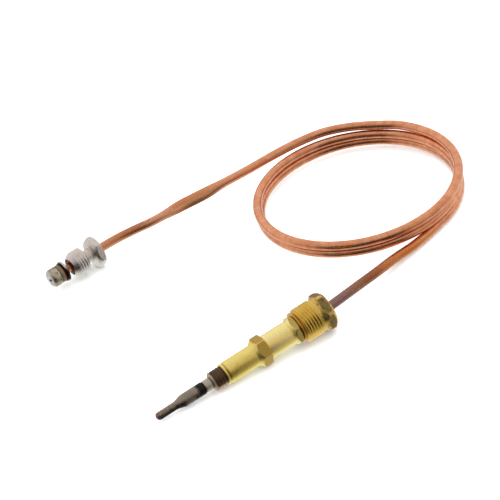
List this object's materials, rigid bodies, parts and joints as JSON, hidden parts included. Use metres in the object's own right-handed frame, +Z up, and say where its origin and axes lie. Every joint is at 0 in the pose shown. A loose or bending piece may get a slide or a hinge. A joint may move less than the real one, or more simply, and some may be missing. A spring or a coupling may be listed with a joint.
{
  "type": "thermocouple",
  "caption": "Gas flame-failure thermocouple: swaged probe in a brass body with gland nut, coiled copper lead, and a nickel union nut with an insulated contact.",
  "frame": {"origin": "on the surface the thermocouple lies on, under the middle of the hot end's box", "axes": "+X along the hot end, in plan, from its tip to its gland nut; +Z up; the coil lies towards +X and +Y"},
  "size_m": [0.1471, 0.1029, 0.0133],
  "materials": {
    "sheath_alloy": "satin",
    "element_alloy": "satin",
    "ceramic": "matte",
    "ferrule_alloy": "satin",
    "scorched_brass": "matte",
    "brass": "satin",
    "gland_brass": "satin",
    "copper": "satin",
    "solder": "gloss",
    "contact_alloy": "satin",
    "contact_copper": "matte",
    "fibre": "matte",
    "nickel": "satin"
  },
  "bodies": {
    "root": {"junction_weld": "sheath_alloy", "probe_sheath": "sheath_alloy", "element_wire": "element_alloy", "sheath_insulator": "ceramic", "sheath_collar": "ferrule_alloy", "nose_bush": "scorched_brass", "probe_body": "brass", "rear_body": "brass", "splice_sleeve": "ferrule_alloy", "splice_insulator": "ceramic", "core_wire_hot": "copper", "lead_braze": "solder", "lead_hot_tail": "copper", "lead_coil": "copper", "lead_valve_tail": "copper", "contact_solder": "solder", "contact_button": "contact_alloy", "contact_washer": "contact_copper", "insulating_washer": "fibre", "core_wire_valve": "copper", "tail_flange": "nickel"},
    "slip_washer": {"slip_washer": "brass"},
    "gland_nut": {"gland_nut": "gland_brass"},
    "union_nut": {"union_nut": "nickel"}
  },
  "joints": [
    {"name": "gland_slide", "type": "slide", "parent": "root", "child": "slip_washer", "axis": [0.9972, 0, 0.0748], "range_m": [0, 0.003]},
    {"name": "gland_spin", "type": "hinge", "parent": "slip_washer", "child": "gland_nut", "pos_m": [0.02723, 0, 0.00646], "axis": [0.9972, 0, 0.0748], "continuous": true},
    {"name": "union_slide", "type": "slide", "parent": "root", "child": "union_nut", "axis": [0.9904, 0.138, 0], "range_m": [-0.0022, 0.003]}
  ]
}
